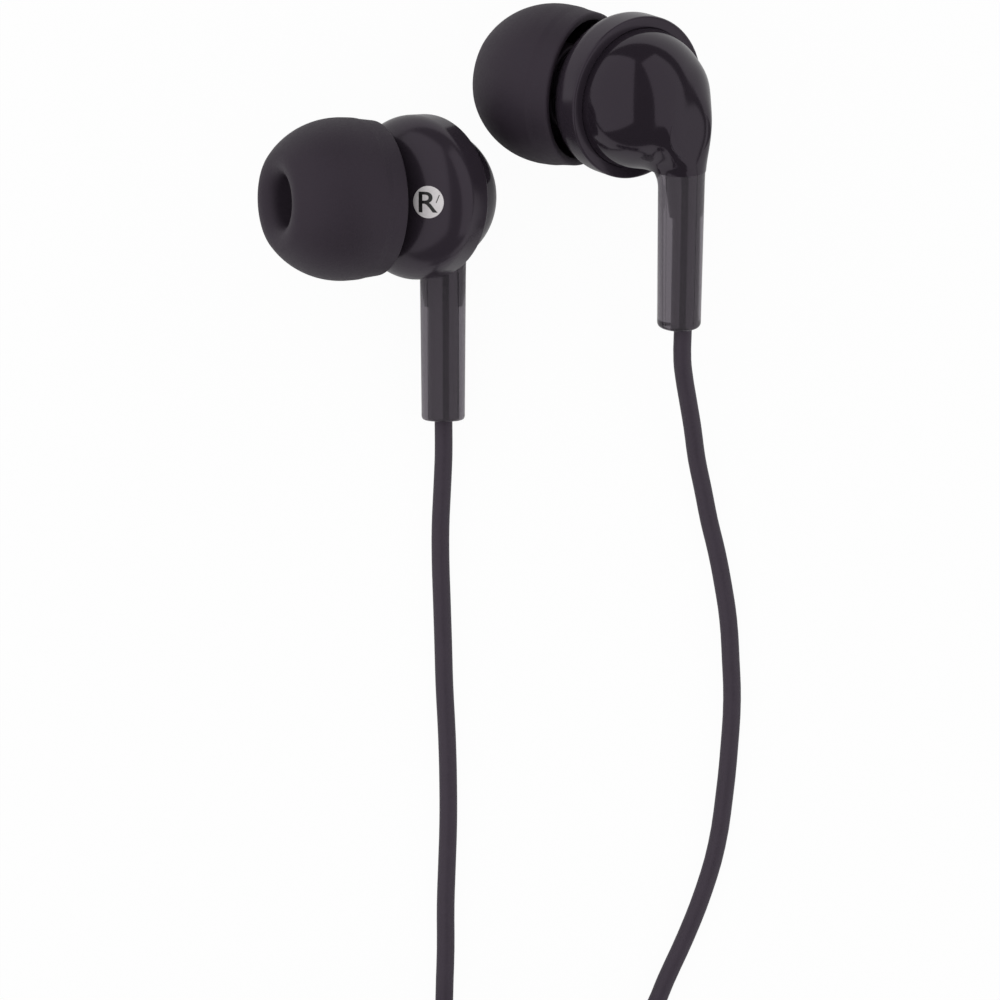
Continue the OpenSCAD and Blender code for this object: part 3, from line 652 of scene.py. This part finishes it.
def add_stem(side):
    """The clear tube, and in it the strain relief, the cord and its two bare wires."""
    top, end = stem(side, STEM_TOP), STEM_END - STEM_TOP
    bm = bmesh.new()
    spin_into(bm, [(STEM_TOP_R - (STEM_TOP_R - STEM_R) * d / end, d)
                   for d in (0, 0.1, 0.2, 0.35, 0.5, 0.7, 0.9, 1.2, 1.5)]
              + rounded([(STEM_R, end - 0.8, 0), (STEM_R, end, 0.5), (STEM_R - 0.7, end, 0)]),
              closed=False)
    for v in bm.verts:
        if v.co.z < (FLARE_END - STEM_TOP) * MM:
            v.co = flared(v.co, v.co.xy.length / MM, STEM_TOP + v.co.z / MM)
    bmesh.ops.transform(bm, matrix=moved(ASIDE, AHEAD, 0), verts=bm.verts)
    spin_into(bm, [(1.25, 0), (0.9, RELIEF_LEN), (STEM_BORE, RELIEF_LEN), (STEM_BORE, end)],
              closed=False)
    bmesh.ops.remove_doubles(bm, verts=bm.verts, dist=WELD)
    rims = [e for e in bm.edges if e.is_boundary]
    middle = end / 2 * MM
    for rim in ([e for e in rims if e.verts[0].co.z < middle],
                [e for e in rims if e.verts[0].co.z > middle]):
        bmesh.ops.bridge_loops(bm, edges=rim)
    bmesh.ops.transform(bm, matrix=top, verts=bm.verts)
    piece(bm, side + "_clear_stem", CLEAR, [side + "_stem_sleeve"])
    bm = bmesh.new()
    spin_into(bm, [(STEM_BORE, 0), (1.2, 0), (0.85, RELIEF_LEN), (STEM_BORE, RELIEF_LEN)],
              64, top)
    piece(bm, side + "_strain_relief", BOOT, [side + "_cable_boot"])
    bm = bmesh.new()
    run = STEM_END - LEAD_TOP
    spin_into(bm, [(0, 0), (CORD_R, 0), (CORD_R, run), (0, run)], 48, stem(side, LEAD_TOP),
              closed=False)
    wire_r = 0.18 * MM
    for way in (-1, 1):
        start = Vector((ARM_X + way * 0.3, -LEAD_TOP - 0.1, ARM_Z))
        stop = Vector((way * 0.8, 0, -1.5))
        lie = (moved(*(start + stop) / 2)
               @ (stop - start).to_track_quat("Z", "Y").to_matrix().to_4x4())
        bmesh.ops.create_cone(bm, cap_ends=True, segments=16, radius1=wire_r, radius2=wire_r,
                              depth=(stop - start).length * MM, matrix=earbud(side) @ lie)
    piece(bm, side + "_lead_in_stem", CORD, [side + "_inner_lead"])


def letter_mesh():
    """The filled outline of the letter, in the font's own units."""
    words = bpy.data.curves.new("letter", "FONT")
    words.body = "R"
    words.size = 1.0
    words.align_x = "CENTER"
    words.align_y = "CENTER"
    words.resolution_u = 6
    words.offset = 0.007
    flat = linked("letter", words)
    mesh = baked(flat)
    bpy.data.objects.remove(flat)
    return mesh


def add_marker():
    """The pale disc with an R, printed on the right front shell."""
    disc_r, print_t, sunk = 1.22, 0.02, -0.03
    letter_wide, letter_tall, letter_t, letter_lift = 1.5, 1.56, 0.012, 0.022
    middle = Vector((3.93, -0.08, 4.255))
    normal = Vector((middle.x / HOUSING_R ** 2, middle.y / HOUSING_R ** 2,
                     (middle.z - SIDE_LEN) / FRONT_DEPTH ** 2)).normalized()
    up = (Vector((0, 1, 0)) - normal * normal.y).normalized()
    basis = Matrix((up.cross(normal), up, normal)).transposed().to_4x4()
    onto = Matrix.Translation(middle) @ basis

    def on_shell(flat, lift):
        """A point of the flat print, dropped onto the curved shell."""
        p, d = onto @ Vector((flat.x, flat.y, 0)), -normal
        stretch = Vector((1 / HOUSING_R, 1 / HOUSING_R, 1 / FRONT_DEPTH))
        o = (p - Vector((0, 0, SIDE_LEN)) + normal) * stretch
        d = d * stretch
        b, c = o.dot(d), o.dot(o) - 1
        t = (-b - math.sqrt(max(0, b * b - d.dot(d) * c))) / d.dot(d)
        return p + normal - normal * t + normal * lift

    def lay_down(bm, lift):
        """The print is made flat and in millimetres, and becomes metres here."""
        for v in bm.verts:
            v.co = earbud("right") @ (on_shell(v.co, lift + v.co.z) * MM)

    bm = bmesh.new()
    spin_into(bm, [(r / MM, z / MM) for r, z in (
        (0, print_t), (0.3, print_t), (0.6, print_t), (0.9, print_t), (1.14, print_t),
        (disc_r, 0), (disc_r, sunk), (0, sunk))], 64, closed=False)
    tidy(bm)
    lay_down(bm, 0)
    piece(bm, "right_marker_disc", DISC)
    mesh = letter_mesh()
    bm = bmesh.new()
    bm.from_mesh(mesh)
    bpy.data.meshes.remove(mesh)
    xs, ys = [v.co.x for v in bm.verts], [v.co.y for v in bm.verts]
    bmesh.ops.translate(bm, verts=bm.verts,
                        vec=(-(max(xs) + min(xs)) / 2, -(max(ys) + min(ys)) / 2, 0))
    bmesh.ops.scale(bm, verts=bm.verts, vec=(letter_wide / (max(xs) - min(xs)),
                                             letter_tall / (max(ys) - min(ys)), 1))
    # A short slanted stroke beside the letter
    bm.faces.new([bm.verts.new((x, y, 0)) for x, y in (
        (0.62, -0.05), (0.68, -0.05), (0.93, 0.54), (0.87, 0.56))])
    bmesh.ops.subdivide_edges(bm, edges=bm.edges, cuts=1)
    thicken(bm, bm.faces, (0, 0, letter_t))
    lay_down(bm, letter_lift)
    piece(bm, "right_marker_letter", LETTER)


# ---- ties, splitter and plug ----

def add_tie(name, coil, angle, node):
    wide, thick, room = 2.4, 0.3, CORD_R + 0.1
    inner = coil.radius - PITCH * coil.loops / LAYERS - room
    outer = coil.radius + room
    top = LOWEST + PITCH * (LAYERS - 1) + room
    bm = bmesh.new()
    rings = []
    for x0, x1, z0, z1, corner in ((inner - thick, outer + thick, 0, top + thick, 0.9),
                                   (inner, outer, thick, top, 0.6)):
        line = rounded([(x0, z0, corner), (x1, z0, corner), (x1, z1, corner), (x0, z1, corner)])
        rings += ring_of(bm, [(x, 0, z) for x, z in line])
    bmesh.ops.bridge_loops(bm, edges=rings)
    thicken(bm, bm.faces, (0, wide * MM, 0))
    bmesh.ops.transform(bm, verts=bm.verts, matrix=moved(coil.x, coil.y, 0)
                        @ turned(angle, "Z") @ moved(0, -wide / 2, 0))
    piece(bm, name, BOOT, [node])


def add_splitter():
    here = along_y(SPLIT_X, SPLIT_Y, SPLIT_Z)
    bm = bmesh.new()
    # The body is as wide as the two branches, with round edges
    start, length, round_r = 2.2, 7.6, 1.6
    line = (arc(BRANCH_X, 0, round_r, round_r, -90, 90, 20)
            + arc(-BRANCH_X, 0, round_r, round_r, 90, 270, 20))
    edges = ring_of(bm, [(x, y, start) for x, y in line])
    thicken(bm, bmesh.ops.edgeloop_fill(bm, edges=edges)["faces"], (0, 0, length * MM))
    rims = [e for e in bm.edges if abs(e.verts[0].co.z - e.verts[1].co.z) < WELD]
    bmesh.ops.bevel(bm, geom=rims, offset=0.5 * MM, segments=5, profile=0.5, affect="EDGES",
                    material=-1)
    bmesh.ops.transform(bm, matrix=here, verts=bm.verts)
    for way in (-1, 1):
        spin_into(bm, rounded([(0, 0, 0), (0.95, 0, 0.15), (1.15, 3.2, 0), (0, 3.2, 0)]),
                  48, here @ moved(way * BRANCH_X, 0, 0))
    spin_into(bm, rounded([(0, 9.3, 0), (1.5, 9.3, 0), (1.05, SPLIT_LEN, 0.2),
                           (0, SPLIT_LEN, 0)]), 48, here)
    return piece(bm, "cord_splitter", BLACK, ["splitter"])


def add_plug():
    contact_r = 1.75

    def part(name, outline, start, mat, node):
        """A turned part of the plug, which starts that far beyond the end of the cord."""
        bm = bmesh.new()
        spin_into(bm, rounded(outline), 96, along_y(PLUG_X, PLUG_Y - start, PLUG_Z),
                  closed=False)
        return piece(bm, name, mat, [node])

    made = [
        part("plug_strain_relief", [(0, 0, 0), (1.1, 0, 0.15), (2.1, 6, 0), (0, 6, 0)],
             0, BOOT, "plug_boot"),
        part("plug_grip_shell", [(0, 0, 0), (2.4, 0, 0.1), (2.9, 0.6, 0.2), (3.2, 2.4, 1),
                                 (3.2, 14, 0.5), (0, 14, 0)], 6, BLACK, "plug_grip"),
        part("plug_sleeve_contact", [(0, 0, 0), (2.55, 0, 0.06), (2.55, 0.6, 0.08),
                                     (contact_r, 0.6, 0), (contact_r, 6.7, 0.04), (0, 6.7, 0)],
             20, GOLD, "plug_sleeve"),
        part("plug_ring_contact", [(0, 0, 0), (contact_r, 0, 0.04), (contact_r, 2.3, 0.04),
                                   (0, 2.3, 0)], 27.4, GOLD, "plug_ring"),
        part("plug_tip_contact", [(0, 0, 0), (1.4, 0, 0.05), (1.15, 0.9, 0.3),
                                  (contact_r, 1.9, 0.3), (1.55, 2.4, 0.4), (0.6, 3.5, 0.3),
                                  (0, 3.6, 0)], 30.4, GOLD, "plug_tip"),
    ]
    bm = bmesh.new()
    for start in (26.7, 29.7):
        spin_into(bm, [(0, 0), (contact_r, 0), (contact_r, 0.7), (0, 0.7)], 96,
                  along_y(PLUG_X, PLUG_Y - start, PLUG_Z), closed=False)
    return made + [piece(bm, "plug_insulating_rings", BLACK, ["plug_insulators"])]


# ---- the scene ----

add_camera()
add_world()
add_floor()
add_softbox("left softbox", (-0.565, 0.2, 0.635), (0.047, 0.2, 0), (1.485, 2.8), 0)
add_softbox("right softbox", (0.78, 0.2, 0.6), (-0.029, 0.2, 0), (0.94, 2.8), 16)

splitter = add_splitter()
plug = add_plug()
cords = {
    "right": add_cord("right_branch_cord", RIGHT_ROUTE + coil_path(RIGHT_COIL) + RIGHT_END,
                      ["right_cord", "right_coil", "right_cord_end"]),
    "left": add_cord("left_branch_cord", LEFT_ROUTE + coil_path(LEFT_COIL) + LEFT_END,
                     ["left_cord", "left_coil", "left_cord_end"]),
    "main": add_cord("main_wound_cord", MAIN_START + coil_path(MAIN_COIL) + MAIN_END,
                     ["main_cord_start", "main_coil", "main_cord_end"]),
}

for side in SIDES:
    add_ear_tip(side)
    add_front_shell(side)
    add_rear_cover(side)
    add_stem(side)
add_marker()
add_tie("right_coil_band", RIGHT_COIL, 180, "right_coil_tie")
add_tie("left_coil_band", LEFT_COIL, 0, "left_coil_tie")
add_tie("main_coil_band", MAIN_COIL, 180, "main_coil_tie")

CAD_LOOKS = {
    "nozzle_screen": STEEL, "driver_frame": GREY, "driver_yoke": STEEL, "driver_magnet": MAGNET,
    "top_plate": STEEL, "voice_coil": COPPER, "diaphragm": FILM, "terminal_board": GREEN,
}
for side in SIDES:
    for node, mat in CAD_LOOKS.items():
        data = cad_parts[side + "_" + node].data
        data.materials.clear()
        data.materials.append(mat)

scene.view_settings.view_transform = "Standard"
bpy.context.view_layer.update()
